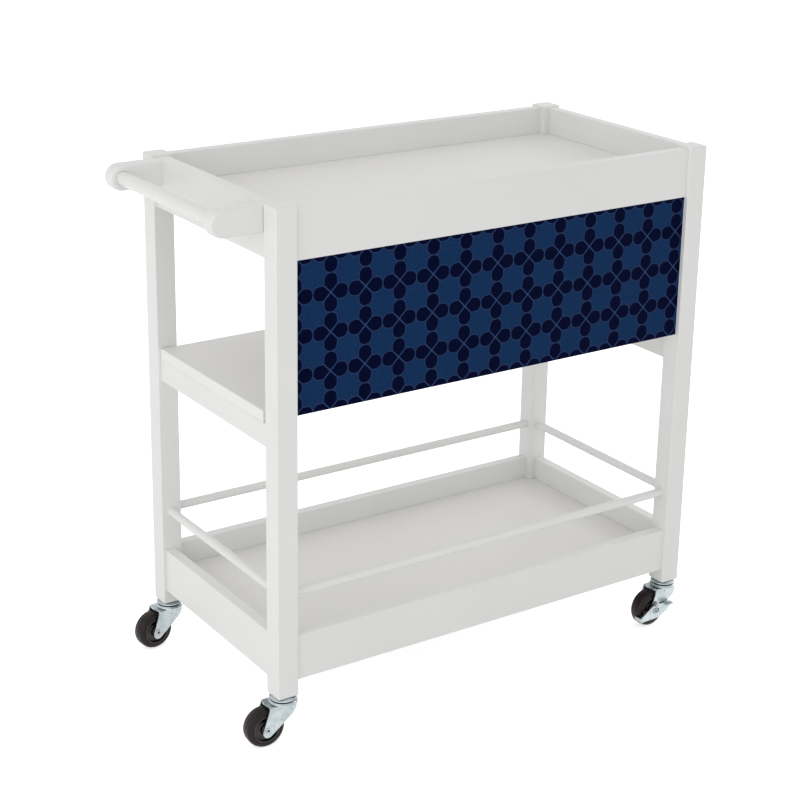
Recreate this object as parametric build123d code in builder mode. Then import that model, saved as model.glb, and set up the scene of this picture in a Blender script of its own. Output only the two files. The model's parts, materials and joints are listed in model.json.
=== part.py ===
from build123d import *
from math import cos, radians, sin
import os

os.makedirs("parts", exist_ok=True)

# A wooden bar cart on four swivel casters: a deep top tray with a push handle, a printed
# front panel, a middle shelf and a bottom tray inside guard rails.
# +X runs along the cart away from the handle, -Y is the front, +Z is up, z = 0 is the floor.

# Posts
cart_len = 795.0  # over the outer faces of the posts, along X
cart_wid = 412.0  # over the outer faces of the posts, along Y
post_len = 761.0
post_side = 35.0
post_round = 2.0
post_chamfer = 1.2  # round the tops

# Boards and their joints
board_thick = 18.0
handle_board_thick = 22.0  # the end board that carries the handle
board_inset = 5.0  # board faces stand this far behind the post faces
board_round = 1.5
tenon_thick = 8.0
tenon_len = 11.0
tenon_shoulder = 10.0
end_play = 0.5  # room at the blind end of a mortise, groove or socket
floor_thick = 9.0
floor_tongue = 6.0  # depth of the board grooves that take the floors
tongue_thick = 6.0  # left of a floor's edge under its rebate
groove_play = 0.3

# Top tray
top_drop = 3.0  # post tops stand this far above the boards
top_board_h = 78.0
top_depth = 46.0

# Front panel
panel_h = 233.0
panel_thick = 9.0
panel_inset = 8.0
panel_tongue = 5.0

# Middle shelf
shelf_drop = 232.0  # shelf top below the lower edge of the top tray's boards
shelf_thick = 18.0
shelf_play = 0.5
shelf_setback = 13.0  # front edge behind the front posts
shelf_rail_h = 36.0
shelf_rail_shoulder = 6.0

# Bottom tray and its guard rails
low_lift = 23.0  # boards above the feet of the posts
low_board_h = 74.0
low_depth = 40.0
guard_dia = 14.0
guard_rise = 66.0  # rail centres above the boards
guard_seat = 9.5
dowel_play = 0.1

# Push handle
handle_reach = 82.0  # beyond the outer faces of the posts
arm_h = 40.0
arm_thick = 24.0
arm_gap = 1.0
arm_round = 3.0
bar_dia = 22.0
bar_seat = 14.0
screw_r = 2.5
screw_head_r = 4.8
screw_bite = 24.0
screw_pitch = 20.0

# Casters
wheel_dia = 63.0
wheel_wid = 25.0
trail = 33.0
side_gap = 1.6
top_gap = 2.5
fork_sheet = 2.5
dome_h = 3.0
dome_r = 22.5  # foot of the raised race
dome_top_r = 20.0
dome_round = 1.5
ball_dia = 5.0
ball_play = 0.05
ball_count = 8
cap_sheet = 1.8
cap_pad_h = 1.1
cap_pad_r = 11.0
cap_r = 21.0
cap_rim_h = 2.0
cap_round = 0.8
race_gap = 2.0  # between the fork's race and the rim of the cap
king_r = 6.0
king_head_r = 10.0
king_head_h = 2.9
run_play = 0.06
slack = 0.3
stem_r = 5.0
stem_len = 26.0
insert_r = 7.5
insert_len = 30.0
fork_end_r = 8.5
fork_end_drop = 3.8  # centres of the legs' round ends below the axle
fork_nose = 28.5  # rear corners of the fork's top behind the swivel axis
fork_bow = 3.0  # its rear edge bows out this far between them
fork_bend = 2.5  # outer radius where the legs leave the top
fork_front = 19.0  # front web ahead of the swivel axis
fork_front_round = 9.0
lobe_r = 10.0  # round of the legs' front edges, under the front web
lobe_at = (1.2, -10.6)  # ahead of the swivel axis and up from the fork's top
axle_r = 3.6
axle_bore_r = 2.0
axle_head_r = 4.8
axle_head_h = 1.2
boss_r = 9.0
web_wid = 14.0
rim_r = 19.5
rim_round = 0.8
tyre_in_r = 22.5
tyre_wid = 23.4
tyre_shoulder = 6.5
tyre_edge = 1.0
casters = {
    "front_left": (-1, -1, -3.0),
    "rear_left": (-1, 1, 6.0),
    "front_right": (1, -1, 3.0),
    "rear_right": (1, 1, 5.0),
}  # side along X, side along Y, yaw in degrees

# Brake levers
lever_sheet = 2.0
lever_play = 0.15
lever_lift = 1.6  # gap between the fork leg and the lever
lever_angle = 19.0  # travel between locked and free, in degrees
lever_round = 2.0
lever_outline = (
    (-33.0, -7.0),
    (-10.0, 8.0),
    (-6.0, 10.0),
    (34.0, 10.0),
    (34.0, 4.0),
    (27.0, -6.5),
    (15.0, -10.5),
    (10.0, -14.5),
    (-31.0, -14.0),
)  # from the axle, ahead and up
pivot_at = (3.0, 9.6)
pivot_r = 2.5
pivot_collar_r = 3.8
pivot_head_r = 4.0
pivot_head_h = 1.2
pivot_ear = 5.2
slot_play = 0.4
shoe_angle = 200.0  # where the shoe meets the tread, from the leading side, in degrees
shoe_gap = 0.4
shoe_wid = 8.0
shoe_inner = 4.0  # inner end of the shoe, from the middle of the wheel
tab_start = 18.0  # foot tab along the lever's upper edge, from the axle
tab_wid = 16.0
tab_len = 9.0
tab_round = 3.0
braked = ("front_right", "rear_right")

# Levels
axle_z = wheel_dia / 2
fork_under = wheel_dia + top_gap
fork_top = fork_under + fork_sheet
dome_top = fork_top + dome_h
cap_under = dome_top + ball_dia + 2 * ball_play
foot_z = cap_under + cap_sheet + cap_pad_h
race_r = (king_r + dome_top_r - dome_round) / 2
top_edge = foot_z + post_len - top_drop
top_base = top_edge - top_board_h
top_floor = top_edge - top_depth
shelf_top = top_base - shelf_drop
shelf_base = shelf_top - shelf_thick
low_base = foot_z + low_lift
low_edge = low_base + low_board_h
low_floor = low_edge - low_depth
guard_z = low_edge + guard_rise
arm_z = top_edge - arm_h / 2

# Planes of the posts and boards, measured from the middle of the cart's frame
body_x = handle_reach / 2
post_x = (cart_len - post_side) / 2
post_y = (cart_wid - post_side) / 2
inner_x = cart_len / 2 - post_side
inner_y = cart_wid / 2 - post_side
face_x = cart_len / 2 - board_inset
face_y = cart_wid / 2 - board_inset
ends = (-1, 1)


def save(piece: BuildPart, name: str):
    """Names a finished piece and writes it."""
    piece.part.label = name
    export_step(piece.part, f"parts/{name}.step")


def end_thick(sx: int) -> float:
    """Thickness of the top tray's end board on one side."""
    return handle_board_thick if sx < 0 else board_thick


def make_post(sx: int, sy: int) -> BuildPart:
    """A square post with its mortises, sockets, panel groove and insert bore."""
    x, y = body_x + sx * post_x, sy * post_y
    inside_x, inside_y = body_x + sx * inner_x, sy * inner_y
    deep = tenon_len + end_play
    along_y = sy * (face_y - board_thick / 2)
    mortise_x = inside_x + sx * deep / 2
    mortise_y = inside_y + sy * deep / 2
    # Each pocket: centre x, centre y, size along x, size along y, foot, height
    pockets = []
    for base, height, thick in (
        (top_base, top_board_h, end_thick(sx)),
        (low_base, low_board_h, board_thick),
    ):
        foot, tall = base + tenon_shoulder, height - 2 * tenon_shoulder
        across_x = body_x + sx * (face_x - thick / 2)
        pockets.append((mortise_x, along_y, deep, tenon_thick, foot, tall))
        pockets.append((across_x, mortise_y, tenon_thick, deep, foot, tall))
    rail_foot = shelf_base - shelf_rail_h + shelf_rail_shoulder
    rail_x = body_x + sx * (face_x - board_thick / 2)
    rail_tall = shelf_rail_h - 2 * shelf_rail_shoulder
    pockets.append((rail_x, mortise_y, tenon_thick, deep, rail_foot, rail_tall))
    if sy < 0:
        groove = panel_tongue + end_play
        panel_y = panel_inset + panel_thick / 2 - cart_wid / 2
        groove_x = inside_x + sx * groove / 2
        pockets.append((groove_x, panel_y, groove, panel_thick, top_base - panel_h, panel_h))
    with BuildPart() as post:
        with BuildSketch(Plane.XY.offset(foot_z)):
            with Locations((x, y)):
                RectangleRounded(post_side, post_side, post_round)
        extrude(amount=post_len)
        chamfer(post.faces().sort_by(Axis.Z)[-1].edges(), post_chamfer)
        for px, py, size_x, size_y, foot, tall in pockets:
            with BuildSketch(Plane.XY.offset(foot)):
                with Locations((px, py)):
                    Rectangle(size_x, size_y)
            extrude(amount=tall, mode=Mode.SUBTRACT)
        for normal, face in (
            ((sx, 0, 0), (inside_x, y, guard_z)),
            ((0, sy, 0), (x, inside_y, guard_z)),
        ):
            with BuildSketch(Plane(origin=face, z_dir=normal)):
                Circle(guard_dia / 2 + dowel_play)
            extrude(amount=guard_seat + end_play, mode=Mode.SUBTRACT)
        with BuildSketch(Plane.XY.offset(foot_z)):
            with Locations((x, y)):
                Circle(insert_r)
        extrude(amount=insert_len, mode=Mode.SUBTRACT)
    return post


def make_board(corner: Plane, length, thick, height, shoulder, groove=None) -> BuildPart:
    """A board with stub tenons. The corner's x runs along it, y inward from its outer face."""
    section = Plane(origin=corner.origin, x_dir=corner.y_dir, z_dir=corner.x_dir)
    with BuildPart() as board:
        with BuildSketch(section) as profile:
            with Locations((thick / 2, height / 2)):
                Rectangle(thick, height)
            if groove is not None:
                slot = tongue_thick + groove_play
                with Locations((thick - floor_tongue / 2, groove + slot / 2)):
                    Rectangle(floor_tongue, slot, mode=Mode.SUBTRACT)
            fillet(profile.vertices().group_by(Axis.Y)[-1], board_round)
        extrude(amount=length)
        for at, way in ((0, -1), (length, 1)):
            with BuildSketch(section.offset(at)):
                with Locations((thick / 2, height / 2)):
                    Rectangle(tenon_thick, height - 2 * shoulder)
            extrude(amount=way * tenon_len)
    return board


def make_floor(x_low: float, x_high: float, half_y: float, top: float) -> BuildPart:
    """A tray floor between its board faces: a field over a thinner tongue, notched round the posts."""
    notch_x = inner_x - end_play + post_side / 2
    notch_y = inner_y - end_play + post_side / 2
    with BuildPart() as floor:
        for reach, thick in ((floor_tongue - end_play, tongue_thick), (-end_play, floor_thick)):
            with BuildSketch(Plane.XY.offset(top - floor_thick)):
                with Locations(((x_low + x_high) / 2, 0)):
                    Rectangle(x_high - x_low + 2 * reach, 2 * (half_y + reach))
                with Locations(*[(body_x + sx * notch_x, sy * notch_y) for sx in ends for sy in ends]):
                    Rectangle(post_side, post_side, mode=Mode.SUBTRACT)
            extrude(amount=thick)
    return floor


def long_corner(sy: int, base: float) -> Plane:
    """Outer lower corner of a front or back board."""
    return Plane(origin=(body_x + sy * inner_x, sy * face_y, base), x_dir=(-sy, 0, 0), z_dir=(0, 0, 1))


def end_corner(sx: int, base: float) -> Plane:
    """Outer lower corner of a left or right board."""
    return Plane(origin=(body_x + sx * face_x, -sx * inner_y, base), x_dir=(0, sx, 0), z_dir=(0, 0, 1))


def make_tray(name: str, base: float, height: float, floor_top: float, thick_left: float):
    """Four boards and a floor."""
    groove = floor_top - floor_thick - base
    thick = {-1: thick_left, 1: board_thick}
    for sy, side in ((-1, "front"), (1, "back")):
        board = make_board(long_corner(sy, base), 2 * inner_x, board_thick, height, tenon_shoulder, groove)
        save(board, f"{name}_{side}_board")
    for sx, side in ((-1, "left"), (1, "right")):
        board = make_board(end_corner(sx, base), 2 * inner_y, thick[sx], height, tenon_shoulder, groove)
        if name == "top_tray" and sx < 0:
            board = drill_handle_board(board)
        save(board, f"{name}_{side}_board")
    floor = make_floor(
        body_x - face_x + thick[-1],
        body_x + face_x - thick[1],
        face_y - board_thick,
        floor_top,
    )
    save(floor, f"{name}_floor")


# Handle screws: two in each arm, one above the other
arm_mid_y = inner_y - arm_gap - arm_thick / 2
screw_spots = [(sy * arm_mid_y, arm_z + s * screw_pitch / 2) for sy in ends for s in ends]
handle_face_x = body_x - face_x
screw_face = Plane(origin=(handle_face_x + handle_board_thick, 0, 0), x_dir=(0, 1, 0), z_dir=(1, 0, 0))
screw_sink = screw_head_r - screw_r


def drill_handle_board(board: BuildPart) -> BuildPart:
    """Countersunk holes through the end board, from inside the tray."""
    with BuildPart() as drilled:
        add(board.part)
        with Locations(screw_face):
            with Locations(*screw_spots):
                CounterSinkHole(screw_r, screw_head_r, handle_board_thick, 90)
    return drilled


for sx, side in ((-1, "left"), (1, "right")):
    for sy, row in ((-1, "front"), (1, "rear")):
        save(make_post(sx, sy), f"post_{row}_{side}")

make_tray("top_tray", top_base, top_board_h, top_floor, handle_board_thick)
make_tray("bottom_tray", low_base, low_board_h, low_floor, board_thick)

# Front panel, held by its ends in the grooves of the front posts
with BuildPart() as front_panel:
    with BuildSketch(Plane.XY.offset(top_base - panel_h)):
        with Locations((body_x, panel_inset + panel_thick / 2 - cart_wid / 2)):
            Rectangle(2 * (inner_x + panel_tongue), panel_thick)
    extrude(amount=panel_h)
save(front_panel, "front_panel")

# Middle shelf, lying on its end rails between the front and rear posts
shelf_wid = 2 * inner_y - shelf_setback - shelf_play
with BuildPart() as middle_shelf:
    with BuildSketch(Plane.XY.offset(shelf_base)):
        with Locations((body_x, inner_y - shelf_play - shelf_wid / 2)):
            Rectangle(2 * face_x, shelf_wid)
    extrude(amount=shelf_thick)
    fillet(middle_shelf.faces().sort_by(Axis.Z)[-1].edges(), board_round)
save(middle_shelf, "middle_shelf")

for sx, side in ((-1, "left"), (1, "right")):
    corner = end_corner(sx, shelf_base - shelf_rail_h)
    rail = make_board(corner, 2 * inner_y, board_thick, shelf_rail_h, shelf_rail_shoulder)
    save(rail, f"shelf_rail_{side}")

# Guard rails, round dowels seated in the posts
for sy, side in ((-1, "front"), (1, "back")):
    with BuildPart() as guard:
        with BuildSketch(Plane(origin=(body_x, sy * post_y, guard_z), z_dir=(1, 0, 0))):
            Circle(guard_dia / 2)
        extrude(amount=inner_x + guard_seat, both=True)
    save(guard, f"guard_rail_{side}")
for sx, side in ((-1, "left"), (1, "right")):
    with BuildPart() as guard:
        with BuildSketch(Plane(origin=(body_x + sx * post_x, 0, guard_z), z_dir=(0, 1, 0))):
            Circle(guard_dia / 2)
        extrude(amount=inner_y + guard_seat, both=True)
    save(guard, f"guard_rail_{side}")

# Push handle: two round-ended arms on the end board and a bar between them
bar_x = body_x - cart_len / 2 - handle_reach + arm_h / 2
arm_inner_y = inner_y - arm_gap - arm_thick
for sy, row in ((-1, "front"), (1, "rear")):
    with BuildPart() as arm:
        with BuildSketch(Plane.XZ.offset(-sy * arm_mid_y)):
            with BuildLine():
                Line((handle_face_x, arm_z - arm_h / 2), (bar_x, arm_z - arm_h / 2))
                CenterArc((bar_x, arm_z), arm_h / 2, 90, 180)
                Line((bar_x, arm_z + arm_h / 2), (handle_face_x, arm_z + arm_h / 2))
                Line((handle_face_x, arm_z + arm_h / 2), (handle_face_x, arm_z - arm_h / 2))
            make_face()
        extrude(amount=arm_thick / 2, both=True)
        rims = arm.faces().filter_by(Axis.Y).edges()
        fillet(rims.filter_by(lambda edge: edge.center().X < handle_face_x - end_play), arm_round)
        with BuildSketch(Plane(origin=(bar_x, sy * arm_inner_y, arm_z), z_dir=(0, sy, 0))):
            Circle(bar_dia / 2 + slack)
        extrude(amount=bar_seat + end_play, mode=Mode.SUBTRACT)
        with BuildSketch(Plane(origin=(handle_face_x, 0, 0), x_dir=(0, 1, 0), z_dir=(1, 0, 0))):
            with Locations(*[spot for spot in screw_spots if spot[0] * sy > 0]):
                Circle(screw_r)
        extrude(amount=-(screw_bite + end_play), mode=Mode.SUBTRACT)
    save(arm, f"handle_arm_{row}")

with BuildPart() as handle_bar:
    with BuildSketch(Plane(origin=(bar_x, 0, arm_z), z_dir=(0, 1, 0))):
        Circle(bar_dia / 2)
    extrude(amount=arm_inner_y + bar_seat, both=True)
save(handle_bar, "handle_bar")

with BuildPart() as handle_screws:
    with BuildSketch(screw_face):
        with Locations(*screw_spots):
            Circle(screw_head_r)
    extrude(amount=-screw_sink, taper=45)
    with BuildSketch(screw_face.offset(-screw_sink)):
        with Locations(*screw_spots):
            Circle(screw_r)
    extrude(amount=screw_sink - handle_board_thick - screw_bite)
save(handle_screws, "handle_screws")


# Casters. Each stands on its own plane: origin on the floor under the swivel axis,
# x ahead of the fork, y across the wheel.
leg_in = wheel_wid / 2 + side_gap
leg_out = leg_in + fork_sheet
spots = {}
for name, (sx, sy, yaw) in casters.items():
    ahead = (cos(radians(yaw)), sin(radians(yaw)), 0)
    spots[name] = Plane(origin=(body_x + sx * post_x, sy * post_y, 0), x_dir=ahead, z_dir=(0, 0, 1))


def side_of(spot: Plane) -> Plane:
    """Upright plane through the swivel axis: x ahead, y up, facing the wheel's left side."""
    return Plane(origin=spot.origin, x_dir=spot.x_dir, z_dir=-spot.y_dir)


def axle_of(spot: Plane) -> Plane:
    """Upright plane through the axle: x along the axle, y up from it."""
    centre = spot.from_local_coords((-trail, 0, axle_z))
    return Plane(origin=centre, x_dir=spot.y_dir, z_dir=spot.x_dir)


def leg_face_of(spot: Plane) -> Plane:
    """Plane on the outer face of the fork's brake leg: x ahead of the axle, y up from it."""
    centre = spot.from_local_coords((-trail, -leg_out, axle_z))
    return Plane(origin=centre, x_dir=spot.x_dir, z_dir=-spot.y_dir)


def make_stem(spot: Plane) -> BuildPart:
    """Stem, raceway cap and headed kingpin, one turned piece."""
    head_top = fork_under - slack
    head_base = head_top - king_head_h
    rim_base = dome_top + race_gap
    rim_top = rim_base + cap_rim_h
    crown = cap_under + cap_sheet
    race_out = race_r + ball_dia / 2 + slack
    with BuildPart() as stem:
        with BuildSketch(side_of(spot)) as profile:
            with BuildLine():
                Polyline(
                    (0, head_base),
                    (king_head_r, head_base),
                    (king_head_r, head_top),
                    (king_r, head_top),
                    (king_r, cap_under),
                    (race_out, cap_under),
                    (cap_r - cap_sheet, rim_top - cap_sheet / 2),
                    (cap_r - cap_sheet, rim_base),
                    (cap_r, rim_base),
                    (cap_r, rim_top),
                    (race_out + cap_sheet / 2, crown),
                    (cap_pad_r, crown),
                    (cap_pad_r, foot_z),
                    (stem_r, foot_z),
                    (stem_r, foot_z + stem_len),
                    (0, foot_z + stem_len),
                    close=True,
                )
            make_face()
            fillet(profile.vertices().group_by(Axis.X)[-1], cap_round)
        revolve(axis=Axis(spot.origin, (0, 0, 1)))
    return stem


def make_fork(spot: Plane, with_brake: bool) -> BuildPart:
    """Pressed fork: a bent skirt cut to the leg outline, a top with its raised race."""
    side = side_of(spot)
    ahead = Axis(spot.origin, spot.x_dir)
    end_z = axle_z - fork_end_drop
    skirt_foot = end_z - fork_end_r
    tail = -trail - fork_end_r
    lip = leg_out - fork_bend
    with BuildPart() as fork:
        with BuildSketch(spot.offset(skirt_foot)) as outer:
            with Locations(((fork_front + tail) / 2, 0)):
                Rectangle(fork_front - tail, 2 * leg_out)
            fillet(outer.vertices().group_by(Axis.X)[-1], fork_front_round)
        extrude(amount=fork_top - skirt_foot)
        fillet(fork.faces().sort_by(Axis.Z)[-1].edges().sort_by(ahead)[1:], fork_bend)
        with BuildSketch(spot.offset(skirt_foot)) as inner:
            with Locations(((fork_front - fork_sheet + tail) / 2, 0)):
                Rectangle(fork_front - fork_sheet - tail, 2 * leg_in)
            fillet(inner.vertices().group_by(Axis.X)[-1], fork_front_round - fork_sheet)
        extrude(amount=fork_under - skirt_foot, mode=Mode.SUBTRACT)
        with BuildSketch(side):
            with Locations((-trail, end_z)):
                Circle(fork_end_r)
            with Locations((lobe_at[0], fork_top + lobe_at[1])):
                Circle(lobe_r)
            with Locations(((fork_front - fork_nose) / 2, fork_top - fork_sheet / 2)):
                Rectangle(fork_front + fork_nose, fork_sheet)
            make_hull()
        extrude(amount=leg_out + end_play, both=True, mode=Mode.INTERSECT)
        with BuildSketch(spot.offset(fork_under)):
            with BuildLine():
                ThreePointArc((-fork_nose, lip), (-fork_nose - fork_bow, 0), (-fork_nose, -lip))
                Line((-fork_nose, -lip), (-fork_nose, lip))
            make_face()
        extrude(amount=fork_sheet)
        with BuildSketch(spot.offset(fork_under)):
            Circle(dome_r)
        extrude(amount=fork_sheet)
        with BuildSketch(spot.offset(fork_top)):
            Circle(dome_r)
        with BuildSketch(spot.offset(dome_top)):
            Circle(dome_top_r)
        loft()
        fillet(fork.faces().sort_by(Axis.Z)[-1].edges(), dome_round)
        with BuildSketch(spot.offset(fork_under)):
            Circle(king_r + run_play)
        extrude(amount=fork_sheet + dome_h, mode=Mode.SUBTRACT)
        with BuildSketch(side):
            with Locations((-trail, axle_z)):
                Circle(axle_r)
        extrude(amount=leg_out + end_play, both=True, mode=Mode.SUBTRACT)
        if with_brake:
            with BuildSketch(leg_face_of(spot)):
                with Locations(pivot_at):
                    Circle(pivot_r)
            extrude(amount=-fork_sheet, mode=Mode.SUBTRACT)
    return fork


def make_axle(spot: Plane, with_brake: bool) -> BuildPart:
    """Hollow rivet through the fork legs. On a braked fork it stands out through the lever."""
    axle = axle_of(spot)
    brake_side = leg_out + (lever_lift + lever_sheet if with_brake else 0)
    with BuildPart() as rivet:
        with BuildSketch(axle) as profile:
            with BuildLine():
                Polyline(
                    (-brake_side - axle_head_h, axle_bore_r),
                    (-brake_side - axle_head_h, axle_head_r),
                    (-leg_out, axle_head_r),
                    (-leg_out, axle_r),
                    (leg_out, axle_r),
                    (leg_out, axle_head_r),
                    (leg_out + axle_head_h, axle_head_r),
                    (leg_out + axle_head_h, axle_bore_r),
                    close=True,
                )
            make_face()
            corners = profile.vertices().group_by(Axis.Y)[-1].sort_by(Axis.X)
            fillet([corners[0], corners[-1]], axle_head_h / 2)
        revolve(axis=Axis(axle.origin, axle.x_dir))
    return rivet


def make_hub(spot: Plane) -> BuildPart:
    """Wheel hub: long boss on the axle, web, rim that stands out past the tyre."""
    axle = axle_of(spot)
    bore = axle_r + run_play
    with BuildPart() as hub:
        with BuildSketch(axle) as profile:
            with Locations((0, (rim_r + tyre_in_r) / 2)):
                Rectangle(wheel_wid, tyre_in_r - rim_r)
            fillet(profile.vertices(), rim_round)
            with Locations((0, (bore + boss_r) / 2)):
                Rectangle(2 * (leg_in - slack), boss_r - bore)
            with Locations((0, (boss_r + rim_r) / 2)):
                Rectangle(web_wid, rim_r - boss_r)
        revolve(axis=Axis(axle.origin, axle.x_dir))
    return hub


def make_tyre(spot: Plane) -> BuildPart:
    """Solid tyre with round shoulders."""
    axle = axle_of(spot)
    with BuildPart() as tyre:
        with BuildSketch(axle) as profile:
            with Locations((0, (tyre_in_r + wheel_dia / 2) / 2)):
                Rectangle(tyre_wid, wheel_dia / 2 - tyre_in_r)
            fillet(profile.vertices().group_by(Axis.Y)[-1], tyre_shoulder)
            fillet(profile.vertices().group_by(Axis.Y)[0], tyre_edge)
        revolve(axis=Axis(axle.origin, axle.x_dir))
    return tyre


def make_lever(spot: Plane) -> BuildPart:
    """Stamped brake lever: plate, shoe bent in over the tread, foot tab bent out."""
    plate = leg_face_of(spot).offset(lever_lift)
    shoe_r = wheel_dia / 2 + shoe_gap + lever_sheet / 2
    shoe_at = (shoe_r * cos(radians(shoe_angle)), shoe_r * sin(radians(shoe_angle)))
    # The axle's place in the lever when the lever is free: turned back about the pivot
    turn = radians(lever_angle)
    free_at = (
        pivot_at[0] - pivot_at[0] * cos(turn) + pivot_at[1] * sin(turn),
        pivot_at[1] - pivot_at[0] * sin(turn) - pivot_at[1] * cos(turn),
    )
    lever_top = max(v for u, v in lever_outline)
    with BuildPart() as lever:
        with BuildSketch(plate) as outline:
            with BuildLine():
                Polyline(*lever_outline, close=True)
            make_face()
            fillet(outline.vertices(), lever_round)
            with Locations(pivot_at):
                Circle(pivot_ear)
        extrude(amount=lever_sheet)
        with BuildSketch(plate.offset(lever_sheet)):
            with Locations(Location(shoe_at, shoe_angle)):
                Rectangle(lever_sheet, shoe_wid)
        extrude(amount=shoe_inner - leg_out - lever_lift - lever_sheet)
        tab_at = plate.from_local_coords((tab_start, lever_top, 0))
        with BuildSketch(Plane(origin=tab_at, x_dir=plate.x_dir, z_dir=plate.y_dir)) as tab:
            with Locations((tab_wid / 2, -(lever_sheet + tab_len) / 2)):
                Rectangle(tab_wid, lever_sheet + tab_len)
            fillet(tab.vertices().group_by(Axis.Y)[0], tab_round)
        extrude(amount=-lever_sheet)
        with BuildSketch(plate):
            Circle(axle_head_r + slot_play)
            with Locations(free_at):
                Circle(axle_head_r + slot_play)
            make_hull()
            with Locations(pivot_at):
                Circle(pivot_r + run_play)
        extrude(amount=lever_sheet, mode=Mode.SUBTRACT)
    return lever


def make_lever_rivet(spot: Plane) -> BuildPart:
    """Shouldered rivet that spaces the lever off the fork leg."""
    leg = leg_face_of(spot)
    head = lever_lift + lever_sheet + lever_play
    with BuildPart() as rivet:
        with BuildSketch(leg.offset(-fork_sheet)):
            with Locations(pivot_at):
                Circle(pivot_r)
        extrude(amount=fork_sheet + head)
        with BuildSketch(leg):
            with Locations(pivot_at):
                Circle(pivot_collar_r)
        extrude(amount=lever_lift - lever_play)
        with BuildSketch(leg.offset(head)):
            with Locations(pivot_at):
                Circle(pivot_head_r)
        extrude(amount=pivot_head_h)
        fillet(rivet.faces().sort_by(Axis(leg.origin, leg.z_dir))[-1].edges(), pivot_head_h / 2)
    return rivet


for name, spot in spots.items():
    save(make_stem(spot), f"caster_stem_{name}")
    save(make_fork(spot, name in braked), f"caster_fork_{name}")
    save(make_axle(spot, name in braked), f"caster_axle_{name}")
    save(make_hub(spot), f"wheel_hub_{name}")
    save(make_tyre(spot), f"wheel_tyre_{name}")

for name in braked:
    save(make_lever(spots[name]), f"brake_lever_{name}")
    save(make_lever_rivet(spots[name]), f"brake_rivet_{name}")

# Bearing balls of all four casters, in the race between cap and fork
with BuildPart() as swivel_balls:
    for spot in spots.values():
        with Locations(spot.offset(dome_top + ball_play + ball_dia / 2)):
            with PolarLocations(race_r, ball_count):
                Sphere(ball_dia / 2)
save(swivel_balls, "swivel_balls")

# Inserts in the feet of the posts
with BuildPart() as stem_inserts:
    with BuildSketch(Plane.XY.offset(foot_z)):
        for spot in spots.values():
            with Locations((spot.origin.X, spot.origin.Y)):
                Circle(insert_r)
                Circle(stem_r, mode=Mode.SUBTRACT)
    extrude(amount=insert_len)
save(stem_inserts, "stem_inserts")
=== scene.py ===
"""Looks of a white wooden bar cart on swivel casters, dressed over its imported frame."""
import json
import logging
import math
from dataclasses import dataclass
from enum import Enum
from typing import Iterable, Sequence, Union

import bmesh
import bpy
from mathutils import Matrix, Vector


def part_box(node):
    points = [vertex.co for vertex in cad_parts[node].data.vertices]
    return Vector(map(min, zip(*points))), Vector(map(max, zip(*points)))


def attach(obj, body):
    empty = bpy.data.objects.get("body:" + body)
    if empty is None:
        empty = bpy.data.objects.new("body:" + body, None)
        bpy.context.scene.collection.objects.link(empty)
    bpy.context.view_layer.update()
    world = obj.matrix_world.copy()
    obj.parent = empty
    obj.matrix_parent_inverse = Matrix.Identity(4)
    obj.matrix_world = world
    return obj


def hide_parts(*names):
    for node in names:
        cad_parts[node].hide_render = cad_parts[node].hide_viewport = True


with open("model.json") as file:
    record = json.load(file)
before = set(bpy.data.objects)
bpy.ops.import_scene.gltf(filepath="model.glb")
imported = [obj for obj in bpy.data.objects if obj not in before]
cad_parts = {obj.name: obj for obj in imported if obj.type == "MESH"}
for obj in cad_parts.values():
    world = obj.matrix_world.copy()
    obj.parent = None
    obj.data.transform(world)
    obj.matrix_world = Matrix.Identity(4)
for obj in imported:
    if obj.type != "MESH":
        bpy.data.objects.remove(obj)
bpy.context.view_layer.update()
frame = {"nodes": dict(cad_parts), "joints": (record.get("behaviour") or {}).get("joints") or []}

ROOT_BODY = "cart_frame"
LOG = logging.getLogger("bar_cart")

Colour = tuple[float, float, float, float]
Point = tuple[float, float]
Spot = tuple[float, float, float]
Socket = bpy.types.NodeSocket
Value = Union[float, Colour, Sequence[float], Socket]

WHITE: Colour = (1.0, 1.0, 1.0, 1.0)
LACQUER_WHITE: Colour = (0.800, 0.800, 0.792, 1.0)
QUARTER_TURN = math.pi / 2
SHARP_ANGLE = math.radians(35.0)
RING_TOLERANCE = 1e-5
MERGE_DISTANCE = 1e-6


class Grain(Enum):
    """Run of the wood under the paint, as a stretch of the grain noise per metre."""

    ALONG_X = (5.0, 190.0, 190.0)
    ALONG_Y = (190.0, 5.0, 190.0)
    ALONG_Z = (190.0, 190.0, 5.0)


class Corner(Enum):
    """The cart's four casters, named as the frame names them."""

    FRONT_LEFT = "front_left"
    REAR_LEFT = "rear_left"
    FRONT_RIGHT = "front_right"
    REAR_RIGHT = "rear_right"


@dataclass(frozen=True)
class Noise:
    """Fractal noise: its cells per unit, its octaves and the weight of the finer ones."""

    scale: float
    detail: float
    roughness: float = 0.5


@dataclass(frozen=True)
class Ramp:
    """A range of values and the range that it is mapped onto, clamped at both ends."""

    low: float
    high: float
    to_low: float = 0.0
    to_high: float = 1.0

    def around(self, middle: float) -> "Ramp":
        """The same ramp with its results measured from a middle value.

        Args:
            middle: The value that is added to both results.

        Returns:
            The new ramp.
        """
        return Ramp(self.low, self.high, middle + self.to_low, middle + self.to_high)


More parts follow.
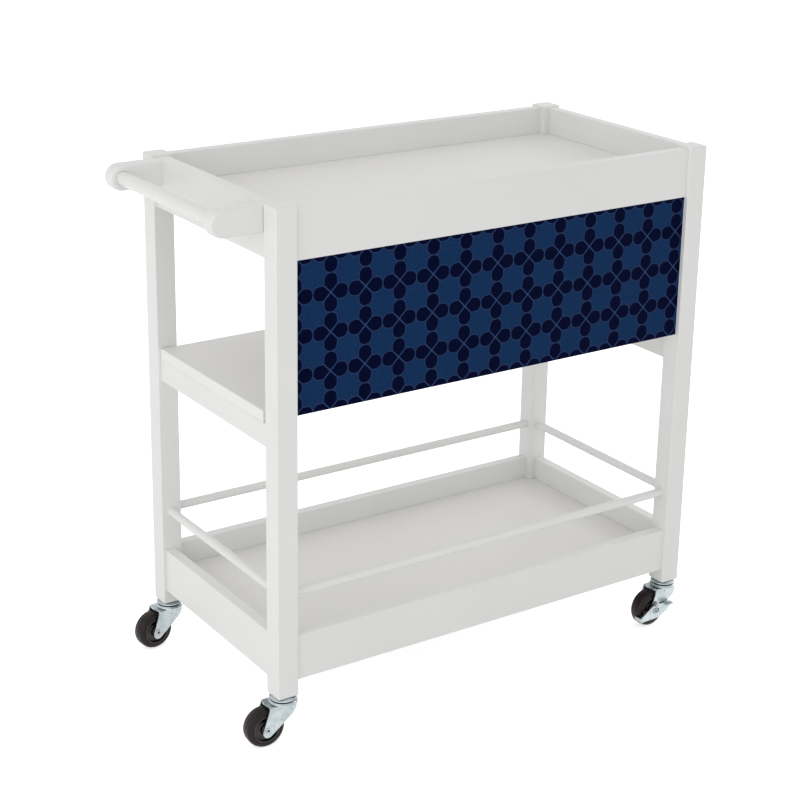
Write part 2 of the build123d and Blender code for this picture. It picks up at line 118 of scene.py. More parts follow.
class Graph:
    """One node tree, with short calls for the nodes used here."""

    BEVEL_SAMPLES = 6
    EDGE_TURN = Ramp(0.995, 0.80)

    def __init__(self, owner: Union[bpy.types.Material, bpy.types.World], shader: str) -> None:
        """Starts on a new material or world.

        Args:
            owner: What the tree belongs to.
            shader: Name of the shader that the tree comes with.
        """
        owner.use_nodes = True
        self.nodes = owner.node_tree.nodes
        self.links = owner.node_tree.links
        self.shader = self.nodes[shader]

    def feed(self, socket: Socket, value: Value) -> None:
        """Sets a socket, or links another node's output to it.

        Args:
            socket: The input to fill.
            value: A constant or an output socket.
        """
        if isinstance(value, bpy.types.NodeSocket):
            self.links.new(value, socket)
        else:
            socket.default_value = value

    def shade(self, inputs: dict[str, Value]) -> None:
        """Fills inputs of the shader.

        Args:
            inputs: Values or links, by the name of the input.
        """
        for name, value in inputs.items():
            self.feed(self.shader.inputs[name], value)

    def add(
        self, kind: str, inputs: dict[Union[int, str], Value], **settings: object
    ) -> bpy.types.Node:
        """Adds a node.

        Args:
            kind: The node's type name.
            inputs: Values or links for its inputs, by name or number.
            **settings: Properties of the node itself.

        Returns:
            The new node.
        """
        node = self.nodes.new(kind)
        for name, setting in settings.items():
            setattr(node, name, setting)
        for key, value in inputs.items():
            self.feed(node.inputs[key], value)
        return node

    def place(self) -> Socket:
        """Object coordinates, in metres in the cart's frame."""
        return self.add("ShaderNodeTexCoord", {}).outputs["Object"]

    def math(self, operation: str, *values: Value) -> Socket:
        """A reckoning with one to three values.

        Args:
            operation: Name of the operation.
            *values: As many values as the operation takes.

        Returns:
            The result.
        """
        inputs = dict(enumerate(values))
        return self.add("ShaderNodeMath", inputs, operation=operation).outputs[0]

    def remap(self, value: Value, ramp: Ramp) -> Socket:
        """Maps a range of values onto another.

        Args:
            value: The value.
            ramp: Both ranges.

        Returns:
            The mapped value.
        """
        inputs = {
            "Value": value,
            "From Min": ramp.low,
            "From Max": ramp.high,
            "To Min": ramp.to_low,
            "To Max": ramp.to_high,
        }
        return self.add("ShaderNodeMapRange", inputs).outputs["Result"]

    def below(self, value: Value, limit: float, blur: float) -> Socket:
        """Marks where a value is below a limit.

        Args:
            value: The value.
            limit: The limit.
            blur: How far the mark fades on each side of the limit.

        Returns:
            1 below the limit and 0 above it.
        """
        return self.remap(value, Ramp(limit + blur, limit - blur))

    def blend(self, factor: Value, first: Value, second: Value) -> Socket:
        """Mixes two colours.

        Args:
            factor: Share of the second colour.
            first: First colour.
            second: Second colour.

        Returns:
            The mixed colour.
        """
        inputs = {0: factor, 6: first, 7: second}
        return self.add("ShaderNodeMix", inputs, data_type="RGBA").outputs[2]

    def noise(self, vector: Socket, noise: Noise) -> Socket:
        """Fractal noise from 0 to 1.

        Args:
            vector: Where it is read.
            noise: What it is like.

        Returns:
            The noise value.
        """
        inputs = {
            "Vector": vector,
            "Scale": noise.scale,
            "Detail": noise.detail,
            "Roughness": noise.roughness,
        }
        return self.add("ShaderNodeTexNoise", inputs).outputs[0]

    def stretch(self, vector: Socket, scale: Sequence[float]) -> Socket:
        """Scales coordinates by axis."""
        return self.add("ShaderNodeMapping", {"Vector": vector, "Scale": scale}).outputs[0]

    def bump(self, height: Socket, depth: float, normal: Socket) -> Socket:
        """Tips a normal by a height.

        Args:
            height: Relief from 0 to 1.
            depth: Its depth in metres.
            normal: The normal under it.

        Returns:
            The tipped normal.
        """
        inputs = {"Height": height, "Strength": 1.0, "Distance": depth, "Normal": normal}
        return self.add("ShaderNodeBump", inputs).outputs[0]

    def soft_edge(self, radius: float) -> Socket:
        """Normal of a surface whose edges are eased by a radius."""
        inputs = {"Radius": radius}
        return self.add("ShaderNodeBevel", inputs, samples=self.BEVEL_SAMPLES).outputs[0]

    def edge_share(self, eased: Socket) -> Socket:
        """How much of a point lies on an eased edge.

        Args:
            eased: The eased normal.

        Returns:
            0 on a flat, up to 1 on an edge.
        """
        flat = self.add("ShaderNodeNewGeometry", {}).outputs["True Normal"]
        inputs = {0: eased, 1: flat}
        along = self.add("ShaderNodeVectorMath", inputs, operation="DOT_PRODUCT").outputs["Value"]
        return self.remap(along, self.EDGE_TURN)

    def seen(self) -> Socket:
        """1 where it is looked at, also in a mirror, and 0 where it only lights the cart."""
        path = self.add("ShaderNodeLightPath", {}).outputs
        mirrored = self.math("MAXIMUM", path["Is Glossy Ray"], path["Is Transmission Ray"])
        return self.math("MAXIMUM", path["Is Camera Ray"], mirrored)


class Surface(Graph):
    """The node tree of a new material."""

    def __init__(self, name: str) -> None:
        """Starts the material.

        Args:
            name: Name of the material.
        """
        self.material = bpy.data.materials.new(name)
        super().__init__(self.material, "Principled BSDF")


class Finish:
    """A named surface, whose material is made once."""

    name: str

    def material(self) -> bpy.types.Material:
        """The finish's material, made on its first use."""
        return bpy.data.materials.get(self.name) or self.mix()

    def mix(self) -> bpy.types.Material:
        """Makes the material."""
        raise NotImplementedError


@dataclass(frozen=True)
class WhiteLacquer(Finish):
    """Sprayed white lacquer over wood, with the grain just telling through and a painted
    highlight on its eased edges.
    """

    name: str
    grain: Grain
    colour: Colour = LACQUER_WHITE
    shade: Colour = (0.772, 0.770, 0.758, 1.0)
    # Painted highlight: the lighter colour laid on the eased edges.
    edge: Colour = (0.815, 0.815, 0.808, 1.0)
    clouds: Noise = Noise(4.0, 4.0)
    cloud_share: Ramp = Ramp(0.30, 0.72)
    fibres: Noise = Noise(1.0, 5.0, 0.62)
    fibre_share: Ramp = Ramp(0.56, 0.78, 0.0, 0.35)
    fibre_depth: float = 0.00006
    peel: Noise = Noise(700.0, 2.0)
    peel_depth: float = 0.000012
    roughness: float = 0.38
    roughness_change: Ramp = Ramp(0.25, 0.75, -0.05, 0.08)
    specular: float = 0.26
    coat: float = 0.05
    coat_roughness: float = 0.18
    edge_radius: float = 0.0007

    def mix(self) -> bpy.types.Material:
        """Makes the lacquer.

        Returns:
            The material.
        """
        g = Surface(self.name)
        place = g.place()
        cloud = g.noise(place, self.clouds)
        fibre = g.noise(g.stretch(place, self.grain.value), self.fibres)
        peel = g.noise(place, self.peel)
        eased = g.soft_edge(self.edge_radius)
        body = g.blend(g.remap(cloud, self.cloud_share), self.colour, self.shade)
        body = g.blend(g.remap(fibre, self.fibre_share), body, self.shade)
        g.shade({
            # Painted highlight: eased edges are lightened towards the edge colour.
            "Base Color": g.blend(g.edge_share(eased), body, self.edge),
            "Roughness": g.remap(fibre, self.roughness_change.around(self.roughness)),
            "Normal": g.bump(peel, self.peel_depth, g.bump(fibre, self.fibre_depth, eased)),
            "Specular IOR Level": self.specular,
            "Coat Weight": self.coat,
            "Coat Roughness": self.coat_roughness,
        })
        return g.material


@dataclass(frozen=True)
class LatticePrint(Finish):
    """Blue print of a star and petal lattice on the front of a board, white round its edges.

    The sizes of petals and lines are shares of the period.
    """

    name: str
    corner: Vector
    period: float
    half_period: float = 0.5
    petal_half: float = 0.196
    petal_reach: float = 0.590
    petal_inset: float = 0.014
    petal_round: float = 0.08
    petal_blunt: float = 0.014
    petal_gap: float = 0.004
    line_half: float = 0.006
    cross_depth: float = 0.06
    blur: float = 0.006
    petal: Colour = (0.0004, 0.0020, 0.0205, 1.0)
    field: Colour = (0.0062, 0.0285, 0.0940, 1.0)
    speck: Colour = (0.0125, 0.0480, 0.1290, 1.0)
    line: Colour = (0.0360, 0.0490, 0.1240, 1.0)
    cross: Colour = (0.0600, 0.0760, 0.1680, 1.0)
    board: Colour = LACQUER_WHITE
    specks: Noise = Noise(420.0, 2.0, 0.6)
    speck_share: Ramp = Ramp(0.50, 0.68, 0.0, 0.75)
    wash: Noise = Noise(60.0, 3.0)
    wash_share: Ramp = Ramp(0.35, 0.75, 0.0, 0.30)
    ink_depth: float = 0.0003
    ink_blur: float = 0.0001
    print_depth: float = 0.00003
    roughness: float = 0.55
    roughness_change: Ramp = Ramp(0.3, 0.7, -0.04, 0.06)
    specular: float = 0.02
    edge_radius: float = 0.0006

    def mix(self) -> bpy.types.Material:
        """Makes the print.

        Returns:
            The material.
        """
        g = Surface(self.name)
        place = g.place()
        axes = g.add("ShaderNodeSeparateXYZ", {0: place}).outputs
        across = self._folded(g, axes["X"], self.corner.x)
        upward = self._folded(g, axes["Z"], self.corner.z)
        far = g.math("MAXIMUM", across, upward)
        near = g.math("MINIMUM", across, upward)
        cell, petal, side = self._depths(g, far, near)
        petals = g.below(petal, -self.petal_inset, self.blur)
        lines = g.below(g.math("ABSOLUTE", cell), self.line_half, self.blur)
        grit = g.noise(place, self.specks)
        wash = g.noise(place, self.wash)
        ground = g.blend(g.remap(grit, self.speck_share), self.field, self.speck)
        ground = g.blend(g.remap(wash, self.wash_share), ground, self.field)
        thread = g.blend(g.remap(side, Ramp(0.0, -self.cross_depth)), self.line, self.cross)
        ink = g.blend(lines, g.blend(petals, ground, self.petal), thread)
        face = g.below(axes["Y"], self.corner.y + self.ink_depth, self.ink_blur)
        g.shade({
            "Base Color": g.blend(face, self.board, ink),
            "Roughness": g.remap(grit, self.roughness_change.around(self.roughness)),
            "Normal": g.bump(petals, self.print_depth, g.soft_edge(self.edge_radius)),
            "Specular IOR Level": self.specular,
        })
        return g.material

    def _folded(self, g: Graph, axis: Socket, start: float) -> Socket:
        """Distance to the nearest flower along one axis, in periods.

        Args:
            g: The graph.
            axis: The coordinate.
            start: Where a flower stands on that axis.

        Returns:
            A value from 0 at a flower to 0.5 half way to the next.
        """
        steps = g.math("DIVIDE", g.math("SUBTRACT", axis, start), self.period)
        return g.math("ABSOLUTE", g.math("WRAP", steps, self.half_period, -self.half_period))

    def _depths(self, g: Graph, far: Socket, near: Socket) -> tuple[Socket, Socket, Socket]:
        """Distances from the outline of a petal, in periods, negative inside it.

        Args:
            g: The graph.
            far: The larger of the two folded distances.
            near: The smaller of them.

        Returns:
            The distance from the line drawn round the petal, from the petal with its inner end
            blunted, and from the outer part of that line alone.
        """
        slant = math.sqrt(0.5)
        spoke = g.math("MULTIPLY", g.math("SUBTRACT", near, far), slant)
        square = g.math("MULTIPLY", near, near)
        width = g.math("SQRT", g.math("ADD", square, self.petal_blunt ** 2))
        blunt = g.math("MULTIPLY", g.math("SUBTRACT", width, far), slant)
        blunt = g.math("ADD", blunt, self.petal_gap)
        flank = g.math("SUBTRACT", near, self.petal_half)
        reach = g.math("SUBTRACT", g.math("ADD", far, near), self.petal_reach)
        shoulder = g.math("MULTIPLY", reach, slant)
        tip = g.math("SUBTRACT", far, self.half_period)
        end = g.math("SMOOTH_MAX", shoulder, tip, self.petal_round)
        side = g.math("SMOOTH_MAX", flank, end, self.petal_round)
        petal = g.math("SMOOTH_MAX", blunt, side, self.petal_round / 2)
        return g.math("MAXIMUM", spoke, side), petal, side


@dataclass(frozen=True)
class ZincPlate(Finish):
    """Bright zinc on pressed steel, faintly clouded, with painted shade in the raceway gap and
    painted highlights on its eased edges.
    """

    name: str
    colour: Colour = (0.400, 0.450, 0.475, 1.0)
    # Lighter tone: mixed in at random by the clouds, and also used as a painted highlight on the
    # eased edges.
    bright_tone_and_edge_highlight: Colour = (0.560, 0.605, 0.625, 1.0)
    tint: Colour = (0.250, 0.375, 0.378, 1.0)
    clouds: Noise = Noise(55.0, 4.0)
    cloud_share: Ramp = Ramp(0.32, 0.68)
    stains: Noise = Noise(130.0, 3.0, 0.6)
    stain_share: Ramp = Ramp(0.50, 0.72, 0.0, 0.6)
    drawing: Noise = Noise(1.0, 3.0)
    drawing_stretch: Spot = (300.0, 300.0, 2200.0)
    drawing_depth: float = 0.000006
    roughness: float = 0.28
    roughness_change: Ramp = Ramp(0.3, 0.7, -0.05, 0.12)
    edge_radius: float = 0.0004
    # Painted shade: a near-black band by height over the raceway gap between the dome's top and
    # the cap's rim, where shade falls.
    race_shade: Colour = (0.016, 0.015, 0.014, 1.0)
    race_middle: float = 0.0720
    race_half: float = 0.0011
    race_blur: float = 0.0001

    def mix(self) -> bpy.types.Material:
        """Makes the plating.

        Returns:
            The material.
        """
        g = Surface(self.name)
        place = g.place()
        cloud = g.noise(place, self.clouds)
        stain = g.noise(place, self.stains)
        drawn = g.noise(g.stretch(place, self.drawing_stretch), self.drawing)
        eased = g.soft_edge(self.edge_radius)
        body = g.blend(g.remap(cloud, self.cloud_share), self.colour, self.bright_tone_and_edge_highlight)
        body = g.blend(g.remap(stain, self.stain_share), body, self.tint)
        # Painted highlight: eased edges lightened towards the lighter tone.
        body = g.blend(g.edge_share(eased), body, self.bright_tone_and_edge_highlight)
        # Painted shade: surfaces at the raceway's height are darkened, standing in for the shade
        # in the gap.
        height = g.add("ShaderNodeSeparateXYZ", {0: place}).outputs["Z"]
        above = g.math("ABSOLUTE", g.math("SUBTRACT", height, self.race_middle))
        race_shaded = g.below(above, self.race_half, self.race_blur)
        g.shade({
            "Base Color": g.blend(race_shaded, body, self.race_shade),
            "Roughness": g.remap(stain, self.roughness_change.around(self.roughness)),
            "Normal": g.bump(drawn, self.drawing_depth, eased),
            "Metallic": 1.0,
        })
        return g.material


@dataclass(frozen=True)
class BlackMoulding(Finish):
    """Black rubber or plastic from a mould, a little dusty."""

    name: str
    colour: Colour
    dust: Colour
    roughness: float
    specular: float
    texture_depth: float
    specular_tint: Colour = (1.0, 0.84, 0.84, 1.0)
    clouds: Noise = Noise(90.0, 4.0)
    dust_share: Ramp = Ramp(0.48, 0.78, 0.0, 0.6)
    texture: Noise = Noise(1500.0, 2.0)
    roughness_change: Ramp = Ramp(0.3, 0.7, -0.05, 0.10)
    edge_radius: float = 0.0003

    def mix(self) -> bpy.types.Material:
        """Makes the moulding.

        Returns:
            The material.
        """
        g = Surface(self.name)
        place = g.place()
        cloud = g.noise(place, self.clouds)
        fine = g.noise(place, self.texture)
        g.shade({
            "Base Color": g.blend(g.remap(cloud, self.dust_share), self.colour, self.dust),
            "Roughness": g.remap(cloud, self.roughness_change.around(self.roughness)),
            "Normal": g.bump(fine, self.texture_depth, g.soft_edge(self.edge_radius)),
            "Specular IOR Level": self.specular,
            "Specular Tint": self.specular_tint,
        })
        return g.material


LACQUER_X = WhiteLacquer("white_lacquer_grain_x", Grain.ALONG_X)
LACQUER_Y = WhiteLacquer("white_lacquer_grain_y", Grain.ALONG_Y)
LACQUER_Z = WhiteLacquer("white_lacquer_grain_z", Grain.ALONG_Z)
# Painted light: the same white lacquer made lighter for the tray floors and the shelf, to
# brighten their shaded upward faces.
LIGHTENED_FLOOR_LACQUER = WhiteLacquer(
    "white_lacquer_floors_lightened",
    Grain.ALONG_X,
    colour=(0.835, 0.828, 0.815, 1.0),
    shade=(0.808, 0.800, 0.786, 1.0),
    roughness=0.42,
)
ZINC = ZincPlate("zinc_plate")
RIVET = ZincPlate(
    "zinc_rivet",
    colour=(0.36, 0.39, 0.41, 1.0),
    bright_tone_and_edge_highlight=(0.52, 0.55, 0.57, 1.0),
    tint=(0.30, 0.34, 0.35, 1.0),
    roughness=0.34,
)
BALL = ZincPlate(
    "polished_ball",
    colour=(0.60, 0.61, 0.62, 1.0),
    bright_tone_and_edge_highlight=(0.72, 0.73, 0.74, 1.0),
    tint=(0.55, 0.57, 0.58, 1.0),
    roughness=0.12,
)
TYRE = BlackMoulding(
    "black_tyre",
    colour=(0.0070, 0.0056, 0.0056, 1.0),
    dust=(0.018, 0.0148, 0.0145, 1.0),
    roughness=0.38,
    specular=0.28,
    texture_depth=0.00002,
)
HUB = BlackMoulding(
    "black_hub",
    colour=(0.0062, 0.0058, 0.0060, 1.0),
    dust=(0.013, 0.012, 0.012, 1.0),
    roughness=0.20,
    specular=0.50,
    texture_depth=0.00001,
)


class Workpiece:
    """One mesh on the bench, in its own axes until it is seated."""

    def __init__(self) -> None:
        """Starts with nothing."""
        self.bm = bmesh.new()

    def turn(self, profile: Sequence[Point], steps: int, ring: bool = True) -> None:
        """Turns an outline about the z axis, as on a lathe.

        Args:
            profile: Corners of the outline as radius and height.
            steps: Divisions of the circle.
            ring: Whether the outline closes on itself, clear of the axis.
        """
        verts = [self.bm.verts.new((radius, 0.0, height)) for radius, height in profile]
        ends = verts[1:] + verts[:1] if ring else verts[1:]
        edges = [self.bm.edges.new(pair) for pair in zip(verts, ends)]
        bmesh.ops.spin(
            self.bm,
            geom=verts + edges,
            cent=(0, 0, 0),
            axis=(0, 0, 1),
            angle=math.tau,
            steps=steps,
            use_merge=True,
        )
        bmesh.ops.remove_doubles(self.bm, verts=self.bm.verts, dist=MERGE_DISTANCE)
        bmesh.ops.recalc_face_normals(self.bm, faces=self.bm.faces)

    def ring_edges(self, radius: float, height: float) -> list[bmesh.types.BMEdge]:
        """The edges of the turned circle at one radius and height.

        Args:
            radius: Radius of the circle.
            height: Its height.

        Returns:
            The edges.
        """
        def on_ring(vert: bmesh.types.BMVert) -> bool:
            """Whether a corner lies on the circle."""
            away = max(abs(vert.co.xy.length - radius), abs(vert.co.z - height))
            return away < RING_TOLERANCE

        return [edge for edge in self.bm.edges if all(map(on_ring, edge.verts))]

    def round_ring(self, radius: float, height: float, size: float, segments: int = 4) -> None:
        """Rounds the turned edge at one radius and height.

        Args:
            radius: Radius of the edge.
            height: Height of the edge.
            size: Radius of the rounding.
            segments: Divisions of the rounding.
        """
        bmesh.ops.bevel(
            self.bm,
            geom=self.ring_edges(radius, height),
            offset=size,
            segments=segments,
            profile=0.5,
            affect="EDGES",
            material=-1,
            clamp_overlap=True,
        )

    def take(self, other: "Workpiece") -> None:
        """Adds another workpiece's mesh to this one."""
        mesh = bpy.data.meshes.new("taken")
        other.bm.to_mesh(mesh)
        other.bm.free()
        self.bm.from_mesh(mesh)
        bpy.data.meshes.remove(mesh)

    def seat(self, place: Matrix) -> None:
        """Moves the mesh to its place in the cart's frame."""
        bmesh.ops.transform(self.bm, matrix=place, verts=self.bm.verts)

    def deliver(
        self, name: str, finish: Finish, body: str, nodes: Iterable[str]
    ) -> bpy.types.Object:
        """Makes the mesh a piece of the cart, in place of its plain solids.

        Args:
            name: Name of the piece.
            finish: Its finish.
            body: The body that it moves with.
            nodes: The solids that it stands for.

        Returns:
            The piece.
        """
        mesh = bpy.data.meshes.new(name)
        self.bm.to_mesh(mesh)
        self.bm.free()
        mesh.shade_smooth()
        mesh.set_sharp_from_angle(angle=SHARP_ANGLE)
        mesh.materials.append(finish.material())
        piece = bpy.data.objects.new(name, mesh)
        bpy.context.scene.collection.objects.link(piece)
        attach(piece, body)
        for node in nodes:
            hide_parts(node)
        LOG.info("%s: %d faces on %s", name, len(mesh.polygons), body)
        return piece


def joint(name: str) -> dict:
    """A joint of the frame by name."""
    return next(entry for entry in frame["joints"] if entry["name"] == name)


def mirrored(outline: Sequence[Point]) -> list[Point]:
    """The corners of an outline in mirror image below zero height, in the opposite order."""
    return [(radius, -height) for radius, height in reversed(outline)]


def dress(node: str, finish: Finish) -> None:
    """Gives one of the frame's own solids its finish.

    Args:
        node: Name of the solid.
        finish: Its finish.
    """
    mesh = frame["nodes"][node].data
    mesh.materials.clear()
    mesh.materials.append(finish.material())
    LOG.info("%s: %s", node, finish.name)


@dataclass
class Timberwork:
    """Posts, trays, shelf and guard rails in white lacquer, and the inserts in the posts."""

    rail_steps: int = 40
    rail_seat: float = 0.0095
    bead_height: float = 0.0006
    bead_width: float = 0.0014

    def build(self) -> None:
        """Dresses the boards and makes the round rails."""
        for node in frame["nodes"]:
            if node.startswith("post_"):
                dress(node, LACQUER_Z)
            elif node.endswith("_floor") or node == "middle_shelf":
                # Painted light: floors and shelf take the lightened copy of the lacquer.
                dress(node, LIGHTENED_FLOOR_LACQUER)
            elif node.endswith(("front_board", "back_board")):
                dress(node, LACQUER_X)
            elif node.endswith(("left_board", "right_board")) or node.startswith("shelf_rail"):
                dress(node, LACQUER_Y)
            elif node.startswith("guard_rail"):
                self.guard_rail(node)
            elif node == "stem_inserts":
                dress(node, RIVET)

    def guard_rail(self, node: str) -> None:
        """Turns one round rail, with a bead of paint where it enters each post.

        Args:
            node: The rail's solid.
        """
        low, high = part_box(node)
        size = high - low
        along_x = size.x > size.y
        half, radius = max(size.x, size.y) / 2, size.z / 2
        mouth = half - self.rail_seat
        bead = radius + self.bead_height
        upper = [
            (radius, mouth - self.bead_width),
            (bead, mouth - self.bead_width / 2),
            (bead, mouth),
            (radius, mouth),
            (radius, half),
            (0.0, half),
        ]
        rail = Workpiece()
        rail.turn(mirrored(upper) + upper, self.rail_steps, ring=False)
        lying = Matrix.Rotation(QUARTER_TURN, 4, "Y" if along_x else "X")
        rail.seat(Matrix.Translation((low + high) / 2) @ lying)
        finish = LACQUER_X if along_x else LACQUER_Y
        rail.deliver(f"{node}_turned", finish, ROOT_BODY, [node])


@dataclass
class PushHandle:
    """Two arms, the bar between them and the screws that hold the arms."""

    arms: tuple[str, str] = ("handle_arm_front", "handle_arm_rear")
    bar_steps: int = 64
    bar_ease: float = 0.0015
    screw_steps: int = 36
    screw_pitch: float = 0.020
    head_radius: float = 0.0048
    shank_radius: float = 0.0025
    point_length: float = 0.004
    socket_sides: int = 6
    socket_radius: float = 0.0024
    socket_depth: float = 0.0018

    def build(self) -> None:
        """Dresses the arms, turns the bar and sets the screws."""
        for node in self.arms:
            dress(node, LACQUER_X)
        self.bar()
        self.screws()

    def bar(self) -> None:
        """Turns the bar, with its ends eased for the sockets."""
        low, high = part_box("handle_bar")
        half, radius = (high.y - low.y) / 2, (high.z - low.z) / 2
        upper = [(radius, half), (0.0, half)]
        piece = Workpiece()
        piece.turn(mirrored(upper) + upper, self.bar_steps, ring=False)
        for end in (-half, half):
            piece.round_ring(radius, end, self.bar_ease)
        lying = Matrix.Rotation(QUARTER_TURN, 4, "X")
        piece.seat(Matrix.Translation((low + high) / 2) @ lying)
        piece.deliver("handle_bar_turned", LACQUER_Y, ROOT_BODY, ["handle_bar"])

    def screws(self) -> None:
        """Sets two countersunk screws with six-sided sockets in each arm."""
        low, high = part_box("handle_screws")
        outward = Matrix.Rotation(QUARTER_TURN, 4, "Y")
        piece = Workpiece()
        for arm in self.arms:
            middle = sum(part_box(arm), Vector()) / 2
            for rise in (-self.screw_pitch / 2, self.screw_pitch / 2):
                screw = self.screw(high.x - low.x)
                spot = Vector((high.x, middle.y, middle.z + rise))
                screw.seat(Matrix.Translation(spot) @ outward)
                piece.take(screw)
        piece.deliver("handle_screws_socketed", RIVET, ROOT_BODY, ["handle_screws"])

    def screw(self, length: float) -> Workpiece:
        """Makes one screw, its head up with its top at zero height.

        Args:
            length: Overall length.

        Returns:
            The screw.
        """
        outline = [
            (self.head_radius, 0.0),
            (self.shank_radius, self.shank_radius - self.head_radius),
            (self.shank_radius, self.point_length - length),
            (0.0, -length),
        ]
        piece = Workpiece()
        piece.turn(outline, self.screw_steps, ring=False)
        rim = piece.ring_edges(self.head_radius, 0.0)
        socket = bmesh.ops.create_circle(
            piece.bm, cap_ends=False, segments=self.socket_sides, radius=self.socket_radius
        )["verts"]
        mouth = list({edge for vert in socket for edge in vert.link_edges})
        walls = bmesh.ops.extrude_edge_only(piece.bm, edges=mouth)["geom"]
        sunk = [item for item in walls if isinstance(item, bmesh.types.BMVert)]
        bmesh.ops.translate(piece.bm, verts=sunk, vec=(0.0, 0.0, -self.socket_depth))
        edges = [item for item in walls if isinstance(item, bmesh.types.BMEdge)]
        foot = [edge for edge in edges if set(edge.verts) <= set(sunk)]
        bmesh.ops.contextual_create(piece.bm, geom=foot)
        bmesh.ops.bridge_loops(piece.bm, edges=rim + mouth)
        bmesh.ops.recalc_face_normals(piece.bm, faces=piece.bm.faces)
        return piece


@dataclass
class FrontPanel:
    """The printed panel under the top tray."""

    period: float = 0.0592
    overhang: float = 0.0034

    def build(self) -> None:
        """Prints the panel, with a row of flowers centred just over its upper edge."""
        low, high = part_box("front_panel")
        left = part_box("post_front_left")[1].x
        corner = Vector((left, low.y, high.z + self.overhang))
        dress("front_panel", LatticePrint("lattice_print", corner, self.period))


@dataclass
class SwivelCaster:
    """One caster: cap and stem, fork, rivet axle, hub, tyre and, on two, a brake lever."""

    corner: Corner
    steps: int = 96
    wheel_radius: float = 0.0315
    tyre_bore: float = 0.0225
    tyre_width: float = 0.0234
    shoulder: float = 0.0065
    shoulder_segments: int = 9
    tyre_edge: float = 0.0010
    tyre_edge_segments: int = 3
    seam_height: float = 0.00015
    seam_width: float = 0.0010
    hub_width: float = 0.0276
    hub_bore: float = 0.00366
    boss_radius: float = 0.0090
    boss_edge: float = 0.0012
    boss_root: float = 0.0025
    web_width: float = 0.0140
    rim_bore: float = 0.0195
    rim_width: float = 0.0250
    rim_edge: float = 0.0008
    rim_root: float = 0.0020

    def __post_init__(self) -> None:
        """Reads the wheel's place from the frame."""
        roll = joint(f"roll_{self.corner.value}")
        across = Vector(roll["axis"]).normalized()
        up = Vector((0.0, 0.0, 1.0))
        columns = Matrix((up.cross(across), up, across)).transposed().to_4x4()
        self.axle = Matrix.Translation(roll["pos_m"]) @ columns

    def build(self) -> None:
        """Makes and dresses the caster's pieces."""
        name = self.corner.value
        dress(f"caster_stem_{name}", ZINC)
        dress(f"caster_fork_{name}", ZINC)
        dress(f"caster_axle_{name}", RIVET)
        if f"brake_lever_{name}" in frame["nodes"]:
            dress(f"brake_lever_{name}", ZINC)
            dress(f"brake_rivet_{name}", RIVET)
        self.tyre()
        self.hub()

    def tyre(self) -> None:
        """Turns the tyre, with round shoulders and the mould's parting line round the tread."""
        name = self.corner.value
        side, seam = self.tyre_width / 2, self.seam_width / 2
        tread = self.wheel_radius - self.seam_height
        half = [
            (self.wheel_radius, seam / 2),
            (tread, seam),
            (tread, side),
            (self.tyre_bore, side),
        ]
        piece = Workpiece()
        piece.turn(mirrored(half) + half, self.steps)
        for height in (-side, side):
            piece.round_ring(tread, height, self.shoulder, self.shoulder_segments)
            piece.round_ring(self.tyre_bore, height, self.tyre_edge, self.tyre_edge_segments)
        piece.seat(self.axle)
        piece.deliver(f"tyre_moulded_{name}", TYRE, f"wheel_{name}", [f"wheel_tyre_{name}"])

    def hub(self) -> None:
        """Turns the hub: long boss, recessed web and a rim that stands out past the tyre."""
        name = self.corner.value
        boss, web, rim = self.hub_width / 2, self.web_width / 2, self.rim_width / 2
        half = [
            (self.tyre_bore, rim),
            (self.rim_bore, rim),
            (self.rim_bore, web),
            (self.boss_radius, web),
            (self.boss_radius, boss),
            (self.hub_bore, boss),
        ]
        roundings = (self.rim_edge, self.rim_edge, self.rim_root, self.boss_root, self.boss_edge)
        piece = Workpiece()
        piece.turn(half + mirrored(half), self.steps)
        for side in (-1, 1):
            for (radius, height), size in zip(half, roundings):
                piece.round_ring(radius, side * height, size)
        piece.seat(self.axle)
        piece.deliver(f"hub_moulded_{name}", HUB, f"wheel_{name}", [f"wheel_hub_{name}"])


@dataclass(frozen=True)
class SoftBox:
    """A square soft lamp."""

    name: str
    spot: Spot
    power: float
    side: float = 2.4

    def hang(self, aim: Spot) -> None:
        """Hangs the lamp.

        Args:
            aim: The spot that it is turned to.
        """
        data = bpy.data.lights.new(self.name, "AREA")
        data.size = self.side
        data.energy = self.power
        lamp = bpy.data.objects.new(self.name, data)
        lamp.location = self.spot
        back = Vector(self.spot) - Vector(aim)
        lamp.rotation_euler = back.to_track_quat("Z", "Y").to_euler()
        bpy.context.scene.collection.objects.link(lamp)


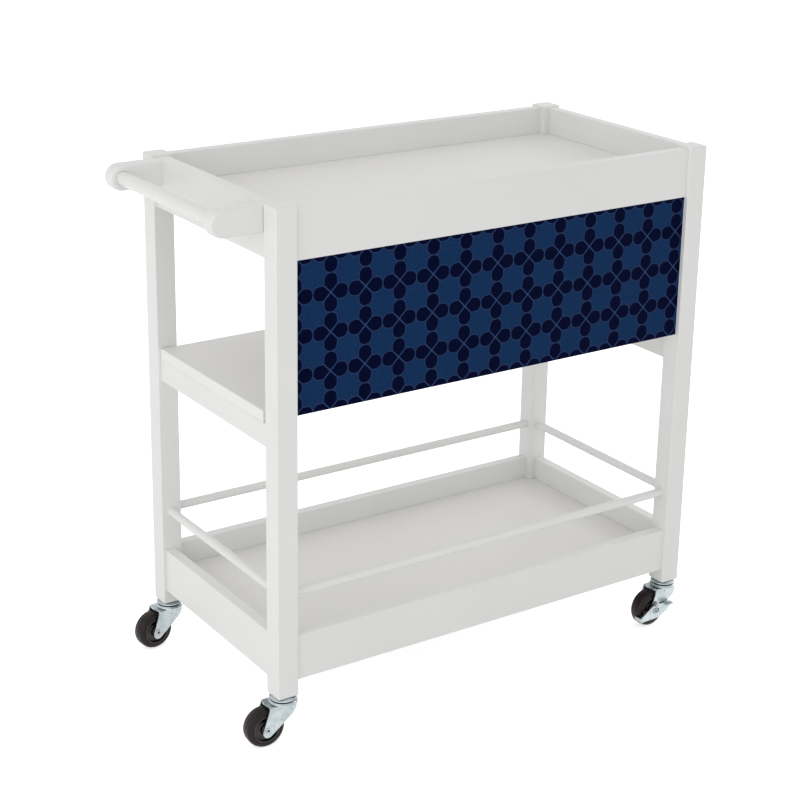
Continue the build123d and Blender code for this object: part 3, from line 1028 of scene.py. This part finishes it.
@dataclass
class Studio:
    """White floor, white surroundings, soft light and the camera."""

    azimuth: float = -33.395
    elevation: float = 18.401
    roll: float = 0.737
    distance: float = 2.9408
    aim: Spot = (-0.0469, 0.0, 0.5441)
    focal_pixels: float = 1840.5
    image_pixels: float = 800.0
    sensor: float = 36.0
    shift: Point = (0.025, -0.08)
    floor_half: float = 15.0
    floor_colour: Colour = (0.90, 0.90, 0.90, 1.0)
    floor_roughness: float = 0.9
    floor_glow: float = 0.62
    room_light: float = 0.745
    lamp_aim: Spot = (0.0, 0.0, 0.45)
    lamps: tuple[SoftBox, ...] = (
        SoftBox("left", (-2.9, -1.0, 1.1), 19.0),
        SoftBox("front", (-1.9, -2.6, 1.2), 7.0),
        SoftBox("right", (3.0, 0.4, 1.2), 27.0),
    )

    def build(self) -> None:
        """Sets up the stage."""
        bpy.context.scene.view_settings.view_transform = "Standard"
        self.world()
        self.floor()
        for lamp in self.lamps:
            lamp.hang(self.lamp_aim)
        self.camera()

    def world(self) -> None:
        """White surroundings: full white where seen, softer where they light the cart."""
        world = bpy.data.worlds.new("white_room")
        bpy.context.scene.world = world
        g = Graph(world, "Background")
        strength = g.remap(g.seen(), Ramp(0.0, 1.0, self.room_light, 1.0))
        g.shade({"Color": WHITE, "Strength": strength})

    def floor(self) -> None:
        """A plain pale floor that keeps the cart's shadow."""
        bm = bmesh.new()
        bmesh.ops.create_grid(bm, x_segments=1, y_segments=1, size=self.floor_half)
        mesh = bpy.data.meshes.new("studio_floor")
        bm.to_mesh(mesh)
        bm.free()
        g = Surface("studio_floor")
        g.shade({
            "Base Color": self.floor_colour,
            "Roughness": self.floor_roughness,
            "Specular IOR Level": 0.0,
            "Emission Color": WHITE,
            "Emission Strength": g.math("MULTIPLY", g.seen(), self.floor_glow),
        })
        mesh.materials.append(g.material)
        floor = bpy.data.objects.new("studio_floor", mesh)
        bpy.context.scene.collection.objects.link(floor)

    def camera(self) -> None:
        """Stands the camera where the photograph was taken from."""
        angles = (self.azimuth, self.elevation, self.roll)
        turn, rise, tilt = (math.radians(angle) for angle in angles)
        reach = math.cos(rise)
        back = Vector((math.sin(turn) * reach, -math.cos(turn) * reach, math.sin(rise)))
        level = Vector((math.cos(turn), math.sin(turn), 0.0))
        upright = back.cross(level)
        right = level * math.cos(tilt) + upright * math.sin(tilt)
        up = upright * math.cos(tilt) - level * math.sin(tilt)
        data = bpy.data.cameras.new("photograph_view")
        data.sensor_width = self.sensor
        data.lens = self.focal_pixels / self.image_pixels * self.sensor
        data.shift_x, data.shift_y = self.shift
        camera = bpy.data.objects.new("photograph_view", data)
        turned = Matrix((right, up, back)).transposed().to_4x4()
        spot = Vector(self.aim) + back * self.distance
        camera.matrix_world = Matrix.Translation(spot) @ turned
        bpy.context.scene.collection.objects.link(camera)
        bpy.context.scene.camera = camera


def main() -> None:
    """Builds the cart's looks in order."""
    logging.basicConfig(level=logging.INFO, format="%(message)s")
    Timberwork().build()
    PushHandle().build()
    FrontPanel().build()
    for corner in Corner:
        SwivelCaster(corner).build()
    dress("swivel_balls", BALL)
    Studio().build()


if __name__ == "__main__":
    main()
